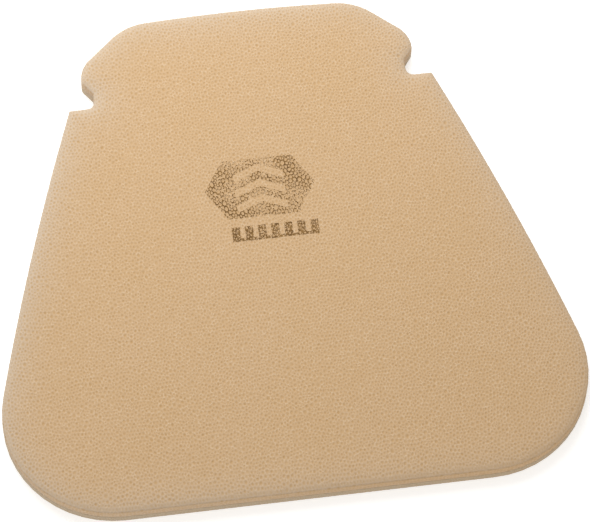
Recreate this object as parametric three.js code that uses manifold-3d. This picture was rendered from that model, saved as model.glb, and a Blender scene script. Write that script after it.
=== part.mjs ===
// A flat foam air filter element for a motorcycle airbox: a keystone-shaped pad, die-cut from a
// coarse foam sheet bonded onto a finer one, with a generic mark printed on its dirty side.
//
// Millimetres. The pad lies on its clean face. +Z is the dirty side, +Y runs from the wide end
// towards the lobe at the narrow end, and X is across the pad, which is symmetric about X = 0.
// The origin is under the middle of the pad's box. Outlines below are laid out from the middle
// of the wide end's edge, and the whole pad is then moved so that its box is centred.

import * as THREE from "three";
import { mergeVertices } from "three/addons/utils/BufferGeometryUtils.js";
import Module from "manifold-3d";

// Thicknesses. Every face lies at a height that a 32-bit number holds exactly, so that
// neighbouring layers share their faces and neither gap nor overlap is left between them.
const FINE_LAYER = 3.75;
const BOND_WEB = 0.25;
const COARSE_LAYER = 5;
const INK_DEPTH = 0.25;

// The wide end and the slanting sides.
const BASE_CORNER_HALF_WIDTH = 127.4;
const BASE_CORNER_RADIUS = 43;
const SIDE_MIDDLE = [95.3, 117.3];
const SIDE_BOW_RADIUS = 1300;
const SHOULDER_HALF_WIDTH = 73.4;
const CUT_CORNER_RADIUS = 0.5;

// The notch in each side, where a tab of the filter's holder sits.
const NOTCH_FLOOR = 176.3;
const NOTCH_ROOT_HALF_WIDTH = 63.2;
const NOTCH_FLOOR_RADIUS = 3;
const NOTCH_ROOT_HEIGHT = 6.6;
const NOTCH_MOUTH_HEIGHT = 12;

// The lobe beyond the notches.
const LOBE_HALF_WIDTH = 67.2;
const LOBE_EAR_RADIUS = 1.6;
const LOBE_SHOULDER = [67.2, 195];
const LOBE_SHOULDER_RADIUS = 12;
const LOBE_TOP_CORNER = [46.8, 212.9];
const LOBE_TOP_CORNER_RADIUS = 24;
const LOBE_APEX = 214.9;
const LOBE_TOP_RADIUS = 700;

// The printed badge: a long hexagon with three chevrons left open in it.
const BADGE_CENTRE = [-2.5, 132];
const BADGE_HALF_WIDTH = 22;
const BADGE_FLAT_HALF_WIDTH = 14;
const BADGE_HALF_HEIGHT = 13;
const CHEVRON_PITCH = 6.8;
const CHEVRON_STROKE = 3.2;
const CHEVRON_RISE = 4.2;
const CHEVRON_HALF_WIDTH = 10;

// The printed row below it: blocks standing on one rule.
const ROW_START = [-16, 108.8];
const RULE_HEIGHT = 1.3;
const BLOCK_COUNT = 7;
const BLOCK_WIDTH = 3.2;
const BLOCK_PITCH = 5.2;
const BLOCK_HEIGHT = 6.4;

// Straight pieces that each rounded corner is split into, two for every step here.
const ARC_STEPS = 7;

// The unit vector from one corner towards another.
function towards(from, to) {
  return new THREE.Vector2(to[0] - from[0], to[1] - from[1]).normalize();
}

// A closed outline through corners given as [x, y, radius], counter-clockwise, with an arc
// tangent to both sides at each corner.
function roundedOutline(corners) {
  const shape = new THREE.Shape();
  corners.forEach((corner, i) => {
    const [x, y, radius] = corner;
    const back = towards(corner, corners.at(i - 1));
    const ahead = towards(corner, corners[(i + 1) % corners.length]);
    const halfAngle = Math.acos(back.dot(ahead)) / 2;
    const reach = radius / Math.tan(halfAngle);
    const centre = back.clone().add(ahead).setLength(radius / Math.sin(halfAngle));
    const start = back.clone().multiplyScalar(reach).sub(centre);
    const end = ahead.clone().multiplyScalar(reach).sub(centre);
    const turnsRight = back.cross(ahead) > 0;
    shape.absarc(x + centre.x, y + centre.y, radius, start.angle(), end.angle(), turnsRight);
  });
  return shape;
}

// The pad's outline: its right half from the wide end up to the lobe, and the same mirrored.
function padOutline() {
  const rightHalf = [
    [BASE_CORNER_HALF_WIDTH, 0, BASE_CORNER_RADIUS],
    [...SIDE_MIDDLE, SIDE_BOW_RADIUS],
    [SHOULDER_HALF_WIDTH, NOTCH_FLOOR, CUT_CORNER_RADIUS],
    [NOTCH_ROOT_HALF_WIDTH, NOTCH_FLOOR, NOTCH_FLOOR_RADIUS],
    [NOTCH_ROOT_HALF_WIDTH, NOTCH_FLOOR + NOTCH_ROOT_HEIGHT, CUT_CORNER_RADIUS],
    [LOBE_HALF_WIDTH, NOTCH_FLOOR + NOTCH_MOUTH_HEIGHT, LOBE_EAR_RADIUS],
    [...LOBE_SHOULDER, LOBE_SHOULDER_RADIUS],
    [...LOBE_TOP_CORNER, LOBE_TOP_CORNER_RADIUS],
  ];
  const leftHalf = rightHalf.map(([x, y, radius]) => [-x, y, radius]).reverse();
  return roundedOutline([...rightHalf, [0, LOBE_APEX, LOBE_TOP_RADIUS], ...leftHalf]);
}

// A polygon path through points given relative to a place.
function polygon(PathClass, [atX, atY], points) {
  return new PathClass(points.map(([x, y]) => new THREE.Vector2(atX + x, atY + y)));
}

// A band bent to a point at its middle, pointing to +Y, to be left open in the badge.
function chevron(offset) {
  const rise = CHEVRON_RISE / 2;
  const half = CHEVRON_STROKE / 2;
  const wide = CHEVRON_HALF_WIDTH;
  return polygon(THREE.Path, [BADGE_CENTRE[0], BADGE_CENTRE[1] + offset], [
    [-wide, -rise - half],
    [0, rise - half],
    [wide, -rise - half],
    [wide, -rise + half],
    [0, rise + half],
    [-wide, -rise + half],
  ]);
}

function badgeOutline() {
  const shape = polygon(THREE.Shape, BADGE_CENTRE, [
    [BADGE_HALF_WIDTH, 0],
    [BADGE_FLAT_HALF_WIDTH, BADGE_HALF_HEIGHT],
    [-BADGE_FLAT_HALF_WIDTH, BADGE_HALF_HEIGHT],
    [-BADGE_HALF_WIDTH, 0],
    [-BADGE_FLAT_HALF_WIDTH, -BADGE_HALF_HEIGHT],
    [BADGE_FLAT_HALF_WIDTH, -BADGE_HALF_HEIGHT],
  ]);
  shape.holes = [-CHEVRON_PITCH, 0, CHEVRON_PITCH].map(chevron);
  return shape;
}

// The rule's lower edge from left to right, then the blocks' tops from right to left.
function rowOutline() {
  const ruleLength = (BLOCK_COUNT - 1) * BLOCK_PITCH + BLOCK_WIDTH;
  const points = [[0, 0], [ruleLength, 0]];
  for (let block = BLOCK_COUNT - 1; block >= 0; block -= 1) {
    const left = block * BLOCK_PITCH;
    const right = left + BLOCK_WIDTH;
    if (block < BLOCK_COUNT - 1) points.push([right, RULE_HEIGHT]);
    points.push([right, BLOCK_HEIGHT], [left, BLOCK_HEIGHT]);
    if (block > 0) points.push([left, RULE_HEIGHT]);
  }
  return polygon(THREE.Shape, ROW_START, points);
}

// One flat layer, from its underside's height up.
function slab(outline, height, thickness) {
  const geometry = new THREE.ExtrudeGeometry(outline, {
    depth: thickness,
    bevelEnabled: false,
    curveSegments: ARC_STEPS,
  });
  return geometry.translate(0, 0, height);
}

const wasm = await Module();
wasm.setup();

// A closed geometry as a solid that can be cut.
function solidOf(geometry) {
  const bare = geometry.clone();
  bare.deleteAttribute("normal");
  bare.deleteAttribute("uv");
  const merged = mergeVertices(bare);
  return new wasm.Manifold(new wasm.Mesh({
    numProp: 3,
    vertProperties: merged.attributes.position.array,
    triVerts: new Uint32Array(merged.index.array),
  }));
}

// What is left of a geometry where the cutters are taken out of it.
function cut(geometry, cutters) {
  const left = cutters.reduce((solid, cutter) => solid.subtract(solidOf(cutter)), solidOf(geometry));
  const mesh = left.getMesh();
  const result = new THREE.BufferGeometry();
  result.setAttribute("position", new THREE.BufferAttribute(mesh.vertProperties, mesh.numProp));
  result.setIndex(new THREE.BufferAttribute(mesh.triVerts, 1));
  return result;
}

function named(name, geometry, look) {
  const mesh = new THREE.Mesh(geometry, new THREE.MeshStandardMaterial(look));
  mesh.name = name;
  return mesh;
}

const coarseFoam = { color: 0xd6b487, roughness: 0.95, metalness: 0 };
const fineFoam = { color: 0xc6ab86, roughness: 0.97, metalness: 0 };
const adhesive = { color: 0xb99a6d, roughness: 0.6, metalness: 0 };
const ink = { color: 0x5d4526, roughness: 0.8, metalness: 0 };

const outline = padOutline();
const coarseHeight = FINE_LAYER + BOND_WEB;
const topHeight = coarseHeight + COARSE_LAYER;

// The ink soaks into the top of the coarse foam, so each printed shape takes a shallow pocket
// there and ends flush with the face. The pockets are cut through that face from above it.
const printed = [badgeOutline(), rowOutline()];
const pockets = printed.map((shape) => slab(shape, topHeight - INK_DEPTH, 2 * INK_DEPTH));
const [badgeInk, rowInk] = printed.map((shape) => slab(shape, topHeight - INK_DEPTH, INK_DEPTH));

const airFilter = new THREE.Group();
airFilter.add(
  named("fine_foam_layer", slab(outline, 0, FINE_LAYER), fineFoam),
  named("bond_web", slab(outline, FINE_LAYER, BOND_WEB), adhesive),
  named("coarse_foam_layer", cut(slab(outline, coarseHeight, COARSE_LAYER), pockets), coarseFoam),
  named("printed_badge", badgeInk, ink),
  named("printed_row", rowInk, ink),
);

const box = new THREE.Box2().setFromPoints(outline.getPoints(ARC_STEPS));
airFilter.position.y = -(box.min.y + box.max.y) / 2;

export default airFilter;
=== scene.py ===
"""The looks of a flat foam air filter pad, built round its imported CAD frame.

Two open-cell foam layers are meshed cell by cell: every cell of a cut face is a pit between
struts, and the cut edge all round carries the same pits more shallowly. Between the layers lies
a thin web of adhesive, and the printed mark is a broken film of ink on the struts.
Lengths inside the mesh functions are in millimetres, and in metres everywhere else.
"""

import math
import bpy
import numpy as np
from mathutils import Matrix, Vector, noise
from mathutils.geometry import delaunay_2d_cdt


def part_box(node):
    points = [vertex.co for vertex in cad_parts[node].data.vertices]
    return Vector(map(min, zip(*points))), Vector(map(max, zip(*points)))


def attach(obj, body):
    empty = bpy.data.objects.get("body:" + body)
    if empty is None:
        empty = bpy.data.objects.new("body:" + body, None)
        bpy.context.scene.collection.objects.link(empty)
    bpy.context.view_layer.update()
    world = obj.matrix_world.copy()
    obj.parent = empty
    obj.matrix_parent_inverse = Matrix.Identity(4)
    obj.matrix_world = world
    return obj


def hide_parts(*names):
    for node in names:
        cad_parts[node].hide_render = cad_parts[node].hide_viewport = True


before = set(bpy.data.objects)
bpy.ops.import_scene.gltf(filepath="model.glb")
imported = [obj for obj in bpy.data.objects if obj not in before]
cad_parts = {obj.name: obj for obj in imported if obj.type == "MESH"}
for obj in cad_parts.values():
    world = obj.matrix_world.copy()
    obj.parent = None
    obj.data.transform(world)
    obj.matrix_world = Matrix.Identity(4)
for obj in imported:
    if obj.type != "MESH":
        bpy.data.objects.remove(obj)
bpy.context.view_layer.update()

MM = 0.001
SEED = 7

# Where the viewer stands, in degrees and metres, with the lens and its sensor in millimetres.
VIEW_AZIMUTH = -10.7
VIEW_ELEVATION = 63.0
VIEW_ROLL = 3.2
VIEW_DISTANCE = 1.521
VIEW_AIM = (0.0077, -0.0050, 0.0)
LENS = 235.0
SENSOR = 36.0

# The cells of the coarse dirt face, in mm. They are longer along the pad than across it, by the
# stretch. Each ring of a cell has its share of the way out from the middle, its drop and how much
# painted shade it takes, and the floor has its drop and how much painted shade it takes. A cell's
# drops are multiplied by a number between its depths. The rounding and the sag shape the rim. On
# the cut edge, a pair of numbers gives the painted glow of light at its top and at its foot, and
# wall_row is the height of a row of its faces.
COARSE = {
    "pitch": 1.3,
    "stretch": 1.3,
    "rings": [(0.70, 0.03, 0.1), (0.44, 0.14, 0.65)],
    "floor": (0.21, 0.9),
    "strut_drop": 0.06,
    "depths": (0.75, 1.2),
    "rounding": 0.5,
    "sag": 1.5,
    "wall_pitch": 1.4,
    "wall_relief": 0.12,
    "wall_glow": (0.15, 0.5),
    "wall_row": 0.3,
}
# The cells of the finer clean face. They go straight down to their floors.
FINE = {
    "pitch": 1.3,
    "stretch": 1.15,
    "rings": [],
    "floor": (0.25, 1.0),
    "strut_drop": 0.04,
    "depths": (0.7, 1.3),
    "rounding": 0.4,
    "sag": 0.0,
    "wall_pitch": 1.0,
    "wall_relief": 0.08,
    "wall_glow": (1.0, 0.5),
    "wall_row": 0.55,
}

# How the cells' middles are spread, in pitches. Those beside the edge are on a ring of their
# own, slide along it by a share of their spacing, and keep a share of their least offset.
SITE_CLEARANCE = 0.85
SITE_JITTER = 0.32
RELAX_ROUNDS = 4
EDGE_SITE_SPACING = 0.95
EDGE_SITE_SLIDE = 0.22
EDGE_SITE_OFFSET = (0.40, 0.55)
EDGE_SITE_ROOM = 0.8

# Middles that are closer than this, in mm, are one to the triangulation.
TRIANGLE_TOLERANCE = 1e-7

# Cells within RIM_CALM mm of the edge are shallower, and so are small cells beside big ones.
RIM_CALM = 1.2
RIM_CALM_LEAST = 0.6
SIZE_SPREAD = (0.7, 1.1)

# The outline and the cut edge below it, in mm, and the stride through the outline's points
# where fewer of them will do.
FLAT_TOLERANCE = 0.01
LENGTH_DIGITS = 3
FACE_STEP = 1.0
WALL_STEP = 0.3
ROUNDING_STEPS = 4
OUTLINE_SOFTNESS = 0.3
OUTLINE_STRIDE = 4

# The cut edge's cells: how far a middle keeps from the sides of its square, in widths of the
# square, and how steeply a pit falls away from its struts.
WALL_SITE_MARGIN = 0.15
WALL_CELL_CONTRAST = 1.6

# How far in from the edge the painted glow of light reaches and the rim sinks, in mm.
EDGE_GLOW_REACH = 7.0
SAG_REACH = 2.6
# How much painted glow of light an edge gets, more on the side the key light comes from: this
# much in the middle of the pad, and 1 more for every so many mm towards the left and towards the
# back.
# The cut edge gets painted glow from what is above the last of these numbers.
EDGE_GLOW = 0.75
EDGE_GLOW_LEAST = 0.35
EDGE_GLOW_LEAN = (400.0, 550.0)
WALL_GLOW = 1.2
WALL_GLOW_FROM = 0.56

# The ink: its thickness above and below a strut in mm, the size of a fleck beside the face that
# carries it, the flecks along a strut, and the stamp's grain in mm and patches in waves per mm.
INK_LIFT = 0.03
INK_SHRINK = 0.96
INK_PARTS = 4
INK_GRAIN = 0.02
INK_PATCH = 0.14
# How much of a stamped shape takes ink, and how much that changes from patch to patch.
BADGE_STAMP = (0.66, 0.45)
ROW_STAMP = (0.8, 0.1)

# The ragged edge of the adhesive, in mm.
WEB_INSET = (0.04, 0.12)
WEB_SOFTNESS = 1.0

# A face with more corners than this is a flat cap.
BIGGEST_SMOOTH_FACE = 4

# Repeatable noise for integer cells.
HASH_PRIMES = (73856093, 19349663)
HASH_ROUNDS = ((1103515245, 12345), (1664525, 1013904223))
HASH_MASK = 0x7FFFFFFF

# Noise in the materials, in waves per metre. A range is the inputs from low to high, and the
# outputs that they become.
PATCH_WAVES = 45.0
PATCH_RANGE = (0.35, 0.65, 0.0, 0.35)
EDGE_GLOW_RANGE = (0.0, 1.0, 0.0, 0.9)
SHADE_RANGE = (0.0, 1.4, 0.0, 1.0)
CREST_RANGE = (0.0, 0.5, 1.0, 0.0)
GLINT_WAVES = 1500.0
GLINT_RANGE = (0.5, 0.75, 0.0, 0.5)
DEEP_SHADE_WAVES = 1300.0
DEEP_SHADE_RANGE = (0.25, 0.5, 0.65, 0.0)
DULLNESS_WAVES = 900.0
DULLNESS_RANGE = (0.3, 0.7, 0.86, 1.0)
SKIN_WAVES = 6000.0
SKIN_STRENGTH = 0.25
SKIN_HEIGHT = 0.00005
INK_WAVES = 700.0
INK_RANGE = (0.35, 0.65, 0.0, 1.0)
ADHESIVE_WAVES = 300.0
FLOOR_WAVES = 3.0

# The studio, in metres and watts.
FLOOR_HALF = 4.0
FLOOR_GLOW = 0.5
WORLD_COLOUR = (1, 0.985, 0.95, 1)
WORLD_STRENGTH = 0.525
KEY = {
    "place": (-0.07, 0.32, 0.38), "size": 0.6, "power": 2.66, "colour": (0.95, 0.98, 1.0),
}
FRONT = {
    "place": (-0.5, -0.9, 1.0), "size": 0.8, "power": 2.6, "colour": (1.0, 0.98, 0.94),
}


def vertex_array(mesh):
    places = np.empty(len(mesh.vertices) * 3)
    mesh.vertices.foreach_get("co", places)
    return places.reshape(-1, 3)


def cross(a, b):
    return a[..., 0] * b[..., 1] - a[..., 1] * b[..., 0]


# ---------------------------------------------------------------- outlines


def upper_loops(node):
    """The closed outlines of a flat CAD node's upper face, counter-clockwise round solid."""
    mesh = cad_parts[node].data
    mesh.calc_loop_triangles()
    vertices = np.empty(len(mesh.loop_triangles) * 3, int)
    mesh.loop_triangles.foreach_get("vertices", vertices)
    triangles = (vertex_array(mesh) / MM)[vertices].reshape(-1, 3, 3)
    top = triangles[..., 2].max()
    flat = triangles[(triangles[..., 2] > top - FLAT_TOLERANCE).all(axis=1)][..., :2]
    corners = flat.round(LENGTH_DIGITS).reshape(-1, 2)
    points, ids = np.unique(corners, axis=0, return_inverse=True)
    ids = ids.reshape(-1, 3)
    edges = {(int(a), int(b)) for t in ids for a, b in zip(t, np.roll(t, -1))}
    following = {a: b for a, b in sorted(edges) if (b, a) not in edges}
    loops = []
    while following:
        start = min(following)
        loop, at = [start], following.pop(start)
        while at != start:
            loop.append(at)
            at = following.pop(at)
        loops.append(points[loop])
    return loops


def resampled(loop, step):
    """Evenly spaced points round a closed loop, about a step apart."""
    closed = np.vstack([loop, loop[:1]])
    along = np.concatenate([[0], np.cumsum(np.hypot(*np.diff(closed, axis=0).T))])
    count = round(along[-1] / step)
    at = np.arange(count) * along[-1] / count
    return np.stack([np.interp(at, along, closed[:, k]) for k in (0, 1)], axis=1)


def softened(loop, step, width):
    """A closed loop with its smallest corners blurred away."""
    spectrum = np.fft.fft(loop[:, 0] + 1j * loop[:, 1])
    waves = np.fft.fftfreq(len(loop), step)
    blurred = np.fft.ifft(spectrum * np.exp(-2 * (math.pi * waves * width) ** 2))
    return np.stack([blurred.real, blurred.imag], axis=1)


def outward(loop):
    """The unit vector out of a counter-clockwise loop at each of its points."""
    along = np.roll(loop, -1, axis=0) - np.roll(loop, 1, axis=0)
    out = np.stack([along[:, 1], -along[:, 0]], axis=1)
    return out / np.hypot(*out.T)[:, None]


def edge_distance(points, loop):
    """How far points are from a closed loop, positive inside it."""
    nearest = np.full(len(points), np.inf)
    inside = np.zeros(len(points), bool)
    for a, b in zip(loop, np.roll(loop, -1, axis=0)):
        along = b - a
        reach = points - a
        t = np.clip(reach @ along / (along @ along), 0, 1)
        nearest = np.minimum(nearest, np.hypot(*(reach - t[:, None] * along).T))
        spans = (a[1] > points[:, 1]) != (b[1] > points[:, 1])
        inside ^= spans & ((cross(along, reach) > 0) == (b[1] > a[1]))
    return np.where(inside, nearest, -nearest)


# ---------------------------------------------------------------- foam cells


def cell_sites(loop, pitch, rng):
    """The middles of foam cells inside a loop, and ghosts mirrored outside it in its edge."""
    low, high = loop.min(axis=0), loop.max(axis=0)
    rows = np.arange(low[1], high[1], pitch * math.sqrt(3) / 2)
    columns = np.arange(low[0], high[0], pitch)
    x, y = np.meshgrid(columns, rows)
    x = x + (np.arange(len(rows)) % 2)[:, None] * pitch / 2
    inner = np.stack([x, y], axis=-1).reshape(-1, 2)
    inner = inner + rng.normal(0, SITE_JITTER * pitch, inner.shape)
    inner = inner[edge_distance(inner, loop) > SITE_CLEARANCE * pitch]

    spacing = EDGE_SITE_SPACING * pitch
    ring = resampled(loop, spacing)
    out = outward(ring)
    along = np.column_stack([-out[:, 1], out[:, 0]])
    slide = spacing * rng.uniform(-EDGE_SITE_SLIDE, EDGE_SITE_SLIDE, (len(ring), 1))
    offset = pitch * rng.uniform(*EDGE_SITE_OFFSET, (len(ring), 1))
    rim = ring + along * slide - out * offset
    ghosts = ring + along * slide + out * offset
    least = EDGE_SITE_OFFSET[0] * pitch * EDGE_SITE_ROOM
    rim = rim[edge_distance(rim, loop) > least]
    ghosts = ghosts[edge_distance(ghosts, loop) < -least]

    sites = np.vstack([inner, rim, ghosts])
    movable = np.arange(len(sites)) < len(inner)
    return relaxed(sites, movable), len(inner) + len(rim)


def relaxed(sites, movable):
    """Sites evened out: each movable one goes to the middle of its own cell, again and again."""
    for _ in range(RELAX_ROUNDS):
        triangles = triangulated(sites)
        centres = np.repeat(sites[triangles].mean(axis=1), 3, axis=0)
        corner = triangles.reshape(-1)
        share = np.maximum(np.bincount(corner, minlength=len(sites)), 1)
        middle = [np.bincount(corner, centres[:, k], len(sites)) / share for k in (0, 1)]
        sites = np.where(movable[:, None], np.stack(middle, axis=1), sites)
    return sites


def triangulated(points):
    """Delaunay triangles, counter-clockwise, as indices of the points."""
    _, _, faces, origins, _, _ = delaunay_2d_cdt(
        [Vector(p) for p in points], [], [], 0, TRIANGLE_TOLERANCE
    )
    original = np.array([o[0] for o in origins])
    triangles = original[np.array(faces)]
    a, b, c = (points[triangles[:, k]] for k in range(3))
    turned = cross(b - a, c - a) < 0
    triangles[turned] = triangles[turned][:, ::-1]
    return triangles


def opposite(triangles, count):
    """For each directed edge, 3 to a triangle, the edge that runs the other way, or -1."""
    start = triangles.reshape(-1)
    end = np.roll(triangles, -1, axis=1).reshape(-1)
    keys = start * count + end
    order = np.argsort(keys)
    wanted = end * count + start
    at = np.clip(np.searchsorted(keys[order], wanted), 0, len(keys) - 1)
    found = order[at]
    return np.where(keys[found] == wanted, found, -1)


def open_face(loop, foam, rng):
    """A cut foam face, facing up with its highest struts at 0: points, painted pit shade, faces
    and rim.

    Each Delaunay triangle of the cells' middles gives one strut node at its centre. A cell is a
    fan of rings from its nodes down to its floor.
    """
    squeeze = np.array([1, foam["stretch"]])
    tight = resampled(loop / squeeze, FACE_STEP)
    sites, real = cell_sites(tight, foam["pitch"], rng)
    triangles = triangulated(sites)
    is_real = np.arange(len(sites)) < real

    # The directed edges that start at a real cell, and the triangles on both sides.
    back = opposite(triangles, len(sites))
    edge = np.arange(len(back))
    start = triangles.reshape(-1)
    keep = is_real[start] & (back >= 0)
    edge, start = edge[keep], start[keep]
    left, left_slot = edge // 3, edge
    right = back[edge] // 3
    right_slot = right * 3 + (back[edge] + 1) % 3
    on_ghost = ~is_real[np.roll(triangles, -1, axis=1).reshape(-1)[edge]]
    rim = chained(right[on_ghost], left[on_ghost])

    # The nodes, then the rings of every cell, from its own depth and its nodes.
    nodes = sites[triangles].mean(axis=1) * squeeze
    tall = -foam["strut_drop"] * rng.random(len(nodes)) ** 2
    middle = sites * squeeze
    calm = np.clip(edge_distance(sites, tight) / RIM_CALM, RIM_CALM_LEAST, 1)
    cell = triangles.reshape(-1)
    node = np.repeat(np.arange(len(triangles)), 3)
    reach = np.hypot(*(nodes[node] - middle[cell]).T)
    width = np.bincount(cell, reach, len(sites)) / np.maximum(np.bincount(cell), 1)
    spread = np.clip(width / np.median(width), *SIZE_SPREAD)
    depth = calm * spread * rng.uniform(*foam["depths"], len(sites))
    # Each ring and the floor also carry how much painted shade their part of the pit gets.
    points, pits = [np.column_stack([nodes, tall])], [np.zeros(len(nodes))]
    for share, drop, pit in foam["rings"]:
        place = middle[cell] + share * (nodes[node] - middle[cell])
        height = share * tall[node] - drop * depth[cell]
        points.append(np.column_stack([place, height]))
        pits.append(pit * depth[cell])
    drop, pit = foam["floor"]
    points.append(np.column_stack([middle, -drop * depth]))
    pits.append(pit * depth)

    # Faces, ring by ring from the nodes inwards.
    base = len(nodes)
    outer_from, outer_to = right, left
    quads = []
    for _ in foam["rings"]:
        inner_from, inner_to = base + right_slot, base + left_slot
        quads.append(np.column_stack([outer_from, outer_to, inner_to, inner_from]))
        outer_from, outer_to = inner_from, inner_to
        base += len(cell)
    fans = np.column_stack([outer_from, outer_to, base + start])
    return np.vstack(points), np.concatenate(pits), quads, fans, rim


def chained(starts, ends):
    """The single closed ring that links each start to its end."""
    following = dict(zip(starts, ends))
    first = starts[0]
    ring = [first]
    while following[ring[-1]] != first:
        ring.append(following[ring[-1]])
    return np.array(ring)


def lattice_noise(cells, seed):
    """A repeatable pair of random numbers from 0 to 1 for each integer cell."""
    mixed = (cells[..., 0] * HASH_PRIMES[0]) ^ (cells[..., 1] * HASH_PRIMES[1]) ^ seed
    draws = []
    for factor, step in HASH_ROUNDS:
        mixed = (mixed * factor + step) & HASH_MASK
        draws.append(mixed)
    return np.stack(draws, axis=-1) / HASH_MASK


def cell_pattern(along, down, pitch, perimeter, seed):
    """0 on the struts and 1 in the middle of each cell of a wall that closes on itself."""
    columns = round(perimeter / pitch)
    at = np.stack([along * columns / perimeter, down / pitch], axis=-1)
    home = np.floor(at).astype(int)
    play = 1 - 2 * WALL_SITE_MARGIN
    distances = []
    for dx in (-1, 0, 1):
        for dy in (-1, 0, 1):
            cell = home + [dx, dy]
            wrapped = np.stack([cell[..., 0] % columns, cell[..., 1]], axis=-1)
            site = cell + WALL_SITE_MARGIN + play * lattice_noise(wrapped, seed)
            distances.append(np.hypot(*np.moveaxis(at - site, -1, 0)))
    nearest = np.sort(np.stack(distances), axis=0)
    return np.clip((nearest[1] - nearest[0]) * WALL_CELL_CONTRAST, 0, 1)


def wall_rows(thickness, rounding, row):
    """The inset and the depth of each row of a wall: round its corner, then straight down."""
    turns = np.linspace(0, math.pi / 2, ROUNDING_STEPS + 1)[1:]
    corner = [rounding * (1 - np.sin(turns)), rounding * (1 - np.cos(turns))]
    count = round((thickness - rounding) / row)
    straight = np.linspace(rounding, thickness, count + 1)[1:]
    return np.concatenate([corner, [np.zeros(count), straight]], axis=1)


def foam_wall(loop, thickness, foam, seed):
    """The cut edge below an open face: rows of points down from its rim, inset by its pits."""
    count = len(loop)
    inset, down = wall_rows(thickness, foam["rounding"], foam["wall_row"])
    # Painted light: the cut edge gets a paler glow from its height and from the side it faces,
    # and on its rounding it takes the face's glow.
    plain = np.interp(down, [foam["rounding"], thickness], foam["wall_glow"])[:, None]
    glow_lean = WALL_GLOW * (glow_towards_light(loop) - WALL_GLOW_FROM)
    wall_glow_amount = np.clip(plain + glow_lean, 0, 1)
    on_face = np.clip(1 - down / foam["rounding"], 0, 1)[:, None]
    edge_glow_amount = on_face * glow_towards_light(loop) + (1 - on_face) * wall_glow_amount
    s, z = np.meshgrid(np.arange(count) * WALL_STEP, down)
    pits = cell_pattern(s, z, foam["wall_pitch"], count * WALL_STEP, seed)
    pits[-1] = 0
    depth = inset[:, None] + foam["wall_relief"] * pits
    place = loop[None] - outward(loop)[None] * depth[..., None]
    height = -z - foam["sag"] * (1 - z / thickness)
    points = np.concatenate([place, height[..., None]], axis=-1).reshape(-1, 3)
    return points, pits.reshape(-1), edge_glow_amount.reshape(-1), len(down)


def zipper(upper, upper_at, lower, lower_at):
    """Triangles between two closed rows that start together and run the same way.

    Each row has its points and their places along the loop, and the one that is behind steps on.
    """
    triangles = []
    i = k = 0
    while i < len(upper) or k < len(lower):
        a, b = upper[i % len(upper)], lower[k % len(lower)]
        if k == len(lower) or (i < len(upper) and upper_at[i] <= lower_at[k]):
            i += 1
            triangles.append((a, b, upper[i % len(upper)]))
        else:
            k += 1
            triangles.append((a, b, lower[k % len(lower)]))
    return np.array(triangles)


def glow_towards_light(points):
    """How much painted glow of light an edge gets: most at the far left, least at the near right.
    """
    x, y = points[:, 0], points[:, 1]
    return np.clip(EDGE_GLOW + y / EDGE_GLOW_LEAN[1] - x / EDGE_GLOW_LEAN[0], EDGE_GLOW_LEAST, 1)


def nearest_along(points, loop):
    """The index of the loop point nearest to each point."""
    found = [np.argmin(np.hypot(*(loop - p).T)) for p in points]
    return np.array(found)


def foam_slab(loop, thickness, foam, seed):
    """A closed foam layer, its open face up at 0: points, painted pit shade, painted edge glow
    and faces.
    """
    rng = np.random.default_rng(seed)
    rim_loop = loop - outward(loop) * foam["rounding"]
    points, pits, quads, fans, rim = open_face(rim_loop, foam, rng)

    # The rim's nodes go to the outline, in order round it, and start where the loop starts.
    at = nearest_along(points[rim, :2], rim_loop)
    turn = int(np.argmin(at))
    rim, at = np.roll(rim, -turn), np.roll(at, -turn)
    steps = np.arange(len(at))
    at = np.maximum.accumulate(at - steps) + steps
    points[rim, :2] = rim_loop[at]

    near = np.clip(edge_distance(points[:, :2], loop[::OUTLINE_STRIDE]), 0, None)
    points[:, 2] -= foam["sag"] * np.exp(-near / SAG_REACH)
    # Painted light: the face is paler near its edge, as if light got in there, and more so
    # towards the key light.
    face_glow = np.exp(-near / EDGE_GLOW_REACH) * glow_towards_light(points)
    wall, wall_pits, edge_glow_amount, rows = foam_wall(loop, thickness, foam, seed)
    base, count = len(points), len(loop)
    points = np.vstack([points, wall])
    pits = np.concatenate([pits, wall_pits])
    edges = np.concatenate([face_glow, edge_glow_amount])
    row = base + np.arange(count)
    strips = zipper(rim, at, row, np.arange(count))
    for r in range(rows - 1):
        upper, lower = row + r * count, row + (r + 1) * count
        quads.append(np.column_stack(
            [upper, lower, np.roll(lower, -1), np.roll(upper, -1)]
        ))
    cap = (row + (rows - 1) * count)[::-1]
    return points, pits, edges, [*quads, fans, strips, cap[None]]


# ---------------------------------------------------------------- meshes


def new_piece(name, points, groups, material, smooth=True):
    """An object from points in mm and groups of faces, each an array with a face in each row."""
    used, renumbered = np.unique(
        np.concatenate([g.reshape(-1) for g in groups]), return_inverse=True
    )
    sizes = np.concatenate([np.full(len(g), g.shape[1]) for g in groups])
    starts = np.concatenate([[0], np.cumsum(sizes)[:-1]])
    mesh = bpy.data.meshes.new(name)
    mesh.vertices.add(len(used))
    mesh.vertices.foreach_set("co", (points[used] * MM).astype(np.float32).reshape(-1))
    mesh.loops.add(len(renumbered))
    mesh.loops.foreach_set("vertex_index", renumbered.astype(np.int32).reshape(-1))
    mesh.polygons.add(len(sizes))
    mesh.polygons.foreach_set("loop_start", starts.astype(np.int32))
    mesh.update(calc_edges=True)
    mesh.validate()
    mesh.polygons.foreach_set("use_smooth", (sizes <= BIGGEST_SMOOTH_FACE) & smooth)
    mesh.materials.append(material)
    piece = bpy.data.objects.new(name, mesh)
    bpy.context.scene.collection.objects.link(piece)
    return piece, used


def add_attribute(piece, name, values):
    layer = piece.data.attributes.new(name, "FLOAT", "POINT")
    layer.data.foreach_set("value", values.astype(np.float32))


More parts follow.
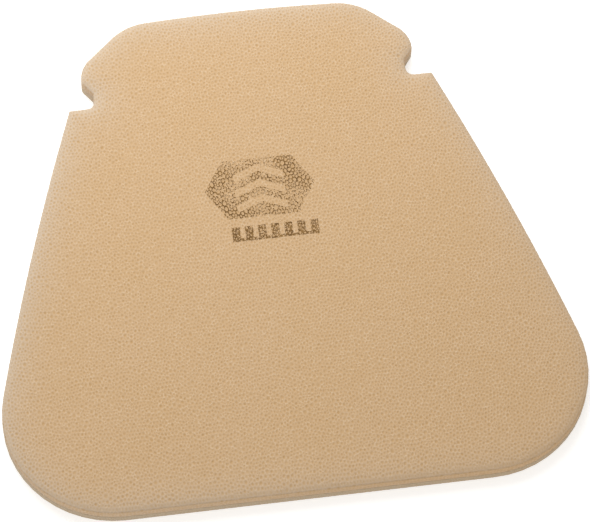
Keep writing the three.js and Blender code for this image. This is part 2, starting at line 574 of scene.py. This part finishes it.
def foam_piece(name, node, loop, foam, face_up, seed, material):
    """A foam layer that fills its CAD node's height, with its open face up or down."""
    low, high = (corner.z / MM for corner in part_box(node))
    points, pits, edges, groups = foam_slab(loop, high - low, foam, seed)
    if face_up:
        points[:, 2] += high
    else:
        points[:, 2] = low - points[:, 2]
        groups = [g[:, ::-1] for g in groups]
    piece, used = new_piece(name, points, groups, material)
    add_attribute(piece, "pit", pits[used])
    # The edge attribute carries the painted glow of light near the edges.
    add_attribute(piece, "edge", edges[used])
    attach(piece, "root")
    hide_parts(node)
    return piece, points, groups


def flecks_of(corners):
    """Small closed films of ink, one over each face given by its corners, clear of each other."""
    middles = corners.mean(axis=1, keepdims=True)
    corners = middles + (corners - middles) * INK_SHRINK
    lifted, sunk = corners + [0, 0, INK_LIFT], corners - [0, 0, INK_LIFT]
    upper = np.arange(len(corners) * 4).reshape(-1, 4)
    lower = upper + upper.size
    following = np.roll(np.arange(4), -1)
    sides = [
        np.column_stack([upper[:, n], upper[:, k], lower[:, k], lower[:, n]])
        for k, n in enumerate(following)
    ]
    points = np.concatenate([lifted.reshape(-1, 3), sunk.reshape(-1, 3)])
    return points, [upper, lower[:, ::-1], *sides]


def strut_specks(points, struts):
    """The faces of the struts, cut into short parts along their struts, as their corners."""
    a, b, c, d = (points[struts[:, k], None] for k in range(4))
    share = np.arange(INK_PARTS + 1)[:, None] / INK_PARTS
    outer, inner = a + share * (b - a), d + share * (c - d)
    corners = [outer[:, :-1], outer[:, 1:], inner[:, 1:], inner[:, :-1]]
    return np.stack(corners, axis=2).reshape(-1, 4, 3)


def ink_taken(specks, cover, fade, seed):
    """Which specks took ink: both sides of a strut together, and fewer in some patches."""
    crests = specks[:, :2, :2].mean(axis=1)
    chance = lattice_noise((crests / INK_GRAIN).round().astype(int), seed)[:, 0]
    patches = [noise.noise(Vector((x, y, seed)) * INK_PATCH) for x, y in crests]
    return chance < cover + fade * np.array(patches)


def ink_piece(name, node, points, struts, stamp, seed, material):
    """The ink of one printed shape, on the strut faces that lie inside it."""
    low, high = (np.array(corner.xy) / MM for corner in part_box(node))
    ends = points[struts[:, 0], :2]
    near = ((ends > low - COARSE["pitch"]) & (ends < high + COARSE["pitch"])).all(axis=1)
    specks = strut_specks(points, struts[near])
    middles = specks[..., :2].mean(axis=1)
    inside = np.zeros(len(specks), bool)
    for loop in upper_loops(node):
        inside ^= edge_distance(middles, loop) > 0
    specks = specks[inside]
    film, groups = flecks_of(specks[ink_taken(specks, *stamp, seed)])
    piece, _ = new_piece(name, film, groups, material, smooth=False)
    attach(piece, "root")
    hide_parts(node)
    return piece


def web_piece(name, node, loop, seed, material):
    """The adhesive between the layers, stopping unevenly just short of the cut edge."""
    rng = np.random.default_rng(seed)
    low, high = (corner.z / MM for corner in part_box(node))
    count = len(loop)
    uneven = np.column_stack([rng.random(count), np.zeros(count)])
    ragged = softened(uneven, WALL_STEP, WEB_SOFTNESS)
    wander = np.interp(ragged[:, 0], [ragged[:, 0].min(), ragged[:, 0].max()], WEB_INSET)
    place = loop - outward(loop) * wander[:, None]
    upper = np.column_stack([place, np.full(count, high)])
    lower = np.column_stack([place, np.full(count, low)])
    ring = np.arange(count)
    side = np.column_stack(
        [ring, ring + count, np.roll(ring, -1) + count, np.roll(ring, -1)]
    )
    groups = [side, ring[None], (ring[::-1] + count)[None]]
    piece, _ = new_piece(name, np.vstack([upper, lower]), groups, material, smooth=False)
    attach(piece, "root")
    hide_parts(node)
    return piece


# ---------------------------------------------------------------- materials


def srgb(red, green, blue):
    """A linear colour from the 0 to 255 numbers that a screen shows."""
    def linear(value):
        value /= 255
        return value / 12.92 if value <= 0.04045 else ((value + 0.055) / 1.055) ** 2.4
    return (linear(red), linear(green), linear(blue), 1.0)


class Nodes:
    """A new material's node tree, with short calls for the nodes that it takes."""

    def __init__(self, name):
        self.material = bpy.data.materials.new(name)
        self.material.use_nodes = True
        self.tree = self.material.node_tree
        self.shader = self.tree.nodes["Principled BSDF"]

    def add(self, kind, **settings):
        node = self.tree.nodes.new(kind)
        for name, value in settings.items():
            setattr(node, name, value)
        return node

    def link(self, source, target):
        self.tree.links.new(source, target)

    def attribute(self, name):
        return self.add("ShaderNodeAttribute", attribute_name=name).outputs["Fac"]

    def noise(self, scale, detail=3.0):
        place = self.add("ShaderNodeTexCoord").outputs["Object"]
        noise = self.add("ShaderNodeTexNoise")
        noise.inputs["Scale"].default_value = scale
        noise.inputs["Detail"].default_value = detail
        self.link(place, noise.inputs["Vector"])
        return noise.outputs["Fac"]

    def ranged(self, value, low, high, to_low, to_high):
        node = self.add("ShaderNodeMapRange")
        for name, number in (
            ("From Min", low), ("From Max", high), ("To Min", to_low), ("To Max", to_high)
        ):
            node.inputs[name].default_value = number
        self.link(value, node.inputs["Value"])
        return node.outputs["Result"]

    def product(self, first, second):
        node = self.add("ShaderNodeMath", operation="MULTIPLY")
        self.link(first, node.inputs[0])
        self.link(second, node.inputs[1])
        return node.outputs[0]

    def mixed(self, share, first, second):
        node = self.add("ShaderNodeMix", data_type="RGBA")
        for socket, value in ((node.inputs[6], first), (node.inputs[7], second)):
            if isinstance(value, tuple):
                socket.default_value = value
            else:
                self.link(value, socket)
        self.link(share, node.inputs[0])
        return node.outputs[2]

    def bump(self, height, strength, distance):
        node = self.add("ShaderNodeBump")
        node.inputs["Strength"].default_value = strength
        node.inputs["Distance"].default_value = distance
        self.link(height, node.inputs["Height"])
        self.link(node.outputs["Normal"], self.shader.inputs["Normal"])

    def set(self, **values):
        for name, value in values.items():
            self.shader.inputs[name.replace("_", " ")].default_value = value


# The foam's own tones, plus painted light and shade: a glow for the edges, shade for the pits,
# highlights for the struts and deeper shade for some pits.
COARSE_COLOURS = {
    "strut": srgb(198, 166, 129),
    "warm": srgb(195, 161, 119),
    "edge_glow": srgb(195, 179, 161),
    "pit": srgb(188, 153, 109),
    "glint": srgb(215, 190, 160),
    "deep_pit_shade": srgb(175, 138, 92),
}
FINE_COLOURS = {
    "strut": srgb(188, 166, 136),
    "warm": srgb(184, 159, 126),
    "edge_glow": srgb(188, 173, 153),
    "pit": srgb(176, 150, 116),
    "glint": srgb(200, 182, 156),
    "deep_pit_shade": srgb(165, 138, 102),
}
INK_COLOURS = (srgb(104, 72, 30), srgb(140, 104, 54))
ADHESIVE_COLOURS = (srgb(176, 150, 112), srgb(196, 170, 130))
FLOOR_COLOURS = (srgb(225, 225, 225), srgb(230, 230, 230))
WHITE = srgb(255, 255, 255)


def foam_material(name, colours):
    """Dull foam: slow patches of a warmer tone, a painted glow of light along the border, and
    painted shade in the pits.

    Fine noise paints highlights on some struts and deeper shade in some pits.
    """
    nodes = Nodes(name)
    patches = nodes.ranged(nodes.noise(PATCH_WAVES), *PATCH_RANGE)
    toned = nodes.mixed(patches, colours["strut"], colours["warm"])
    # Painted light: a paler glow near the edges.
    edge_glow_mix = nodes.ranged(nodes.attribute("edge"), *EDGE_GLOW_RANGE)
    open_face = nodes.mixed(edge_glow_mix, toned, colours["edge_glow"])
    # Painted shade: the pits darker and warmer.
    shade = nodes.ranged(nodes.attribute("pit"), *SHADE_RANGE)
    pitted = nodes.mixed(shade, open_face, colours["pit"])
    crests = nodes.ranged(nodes.attribute("pit"), *CREST_RANGE)
    glints = nodes.ranged(nodes.noise(GLINT_WAVES, detail=0.0), *GLINT_RANGE)
    lit = nodes.mixed(nodes.product(glints, crests), pitted, colours["glint"])
    # Painted shade: some pits darker still.
    deep_pit_shade_mask = nodes.ranged(nodes.noise(DEEP_SHADE_WAVES, detail=0.0), *DEEP_SHADE_RANGE)
    colour = nodes.mixed(nodes.product(deep_pit_shade_mask, shade), lit, colours["deep_pit_shade"])
    dullness = nodes.ranged(nodes.noise(DULLNESS_WAVES), *DULLNESS_RANGE)
    nodes.link(colour, nodes.shader.inputs["Base Color"])
    nodes.link(dullness, nodes.shader.inputs["Roughness"])
    nodes.bump(nodes.noise(SKIN_WAVES), SKIN_STRENGTH, SKIN_HEIGHT)
    nodes.set(Specular_IOR_Level=0.2, Sheen_Weight=0.05)
    return nodes.material


def ink_material():
    nodes = Nodes("stamping_ink")
    depth = nodes.ranged(nodes.noise(INK_WAVES), *INK_RANGE)
    nodes.link(nodes.mixed(depth, *INK_COLOURS), nodes.shader.inputs["Base Color"])
    nodes.set(Roughness=0.75, Specular_IOR_Level=0.3)
    return nodes.material


def adhesive_material():
    nodes = Nodes("sprayed_adhesive")
    colour = nodes.mixed(nodes.noise(ADHESIVE_WAVES), *ADHESIVE_COLOURS)
    nodes.link(colour, nodes.shader.inputs["Base Color"])
    nodes.set(Roughness=0.6)
    return nodes.material


def floor_material():
    """A pale floor that glows a little, so that the shadow on it stays light."""
    nodes = Nodes("pale_floor")
    colour = nodes.mixed(nodes.noise(FLOOR_WAVES), *FLOOR_COLOURS)
    nodes.link(colour, nodes.shader.inputs["Base Color"])
    nodes.set(Roughness=0.9, Specular_IOR_Level=0.1)
    nodes.set(Emission_Color=WHITE, Emission_Strength=FLOOR_GLOW)
    return nodes.material


# ---------------------------------------------------------------- the pad


def build_pad():
    outline = max(upper_loops("fine_foam_layer"), key=len)
    even = resampled(outline, WALL_STEP)
    loop = softened(even, WALL_STEP, OUTLINE_SOFTNESS)
    coarse_look = foam_material("coarse_foam", COARSE_COLOURS)
    fine_look = foam_material("fine_foam", FINE_COLOURS)
    coarse, points, groups = foam_piece(
        "coarse_foam_top", "coarse_foam_layer", loop, COARSE, True, SEED, coarse_look
    )
    fine, _, _ = foam_piece(
        "fine_foam_back", "fine_foam_layer", loop, FINE, False, SEED + 1, fine_look
    )
    web_piece("adhesive_line", "bond_web", loop, SEED + 2, adhesive_material())
    ink = ink_material()
    tops, slopes = groups[:2]
    ink_piece("badge_ink", "printed_badge", points, tops, BADGE_STAMP, SEED + 3, ink)
    strut_faces = np.vstack([tops, slopes])
    ink_piece("row_ink", "printed_row", points, strut_faces, ROW_STAMP, SEED + 4, ink)


# ---------------------------------------------------------------- the studio


def add_floor():
    mesh = bpy.data.meshes.new("studio_floor")
    turns = [(-1, -1), (1, -1), (1, 1), (-1, 1)]
    corners = [(x * FLOOR_HALF, y * FLOOR_HALF, 0) for x, y in turns]
    mesh.from_pydata(corners, [], [(0, 1, 2, 3)])
    mesh.materials.append(floor_material())
    floor = bpy.data.objects.new("studio_floor", mesh)
    bpy.context.scene.collection.objects.link(floor)


def add_light(name, place, size, power, colour):
    data = bpy.data.lights.new(name, "AREA")
    data.shape = "DISK"
    data.size = size
    data.energy = power
    data.color = colour
    light = bpy.data.objects.new(name, data)
    light.location = place
    light.visible_camera = False
    light.rotation_euler = (-Vector(place)).to_track_quat("-Z", "Y").to_euler()
    bpy.context.scene.collection.objects.link(light)


def add_world():
    world = bpy.data.worlds.new("studio_world")
    world.use_nodes = True
    background = world.node_tree.nodes["Background"]
    background.inputs["Color"].default_value = WORLD_COLOUR
    background.inputs["Strength"].default_value = WORLD_STRENGTH
    bpy.context.scene.world = world


def add_camera():
    azimuth, elevation = math.radians(VIEW_AZIMUTH), math.radians(VIEW_ELEVATION)
    back = Vector((
        math.sin(azimuth) * math.cos(elevation),
        -math.cos(azimuth) * math.cos(elevation),
        math.sin(elevation),
    ))
    data = bpy.data.cameras.new("camera")
    data.sensor_width = SENSOR
    data.lens = LENS
    camera = bpy.data.objects.new("camera", data)
    turn = back.to_track_quat("Z", "Y").to_matrix().to_4x4()
    roll = Matrix.Rotation(math.radians(VIEW_ROLL), 4, "Z")
    place = Matrix.Translation(Vector(VIEW_AIM) + back * VIEW_DISTANCE)
    camera.matrix_world = place @ turn @ roll
    bpy.context.scene.collection.objects.link(camera)
    bpy.context.scene.camera = camera


build_pad()
add_floor()
add_light("key", **KEY)
add_light("front", **FRONT)
add_world()
add_camera()
bpy.context.scene.view_settings.view_transform = "Standard"
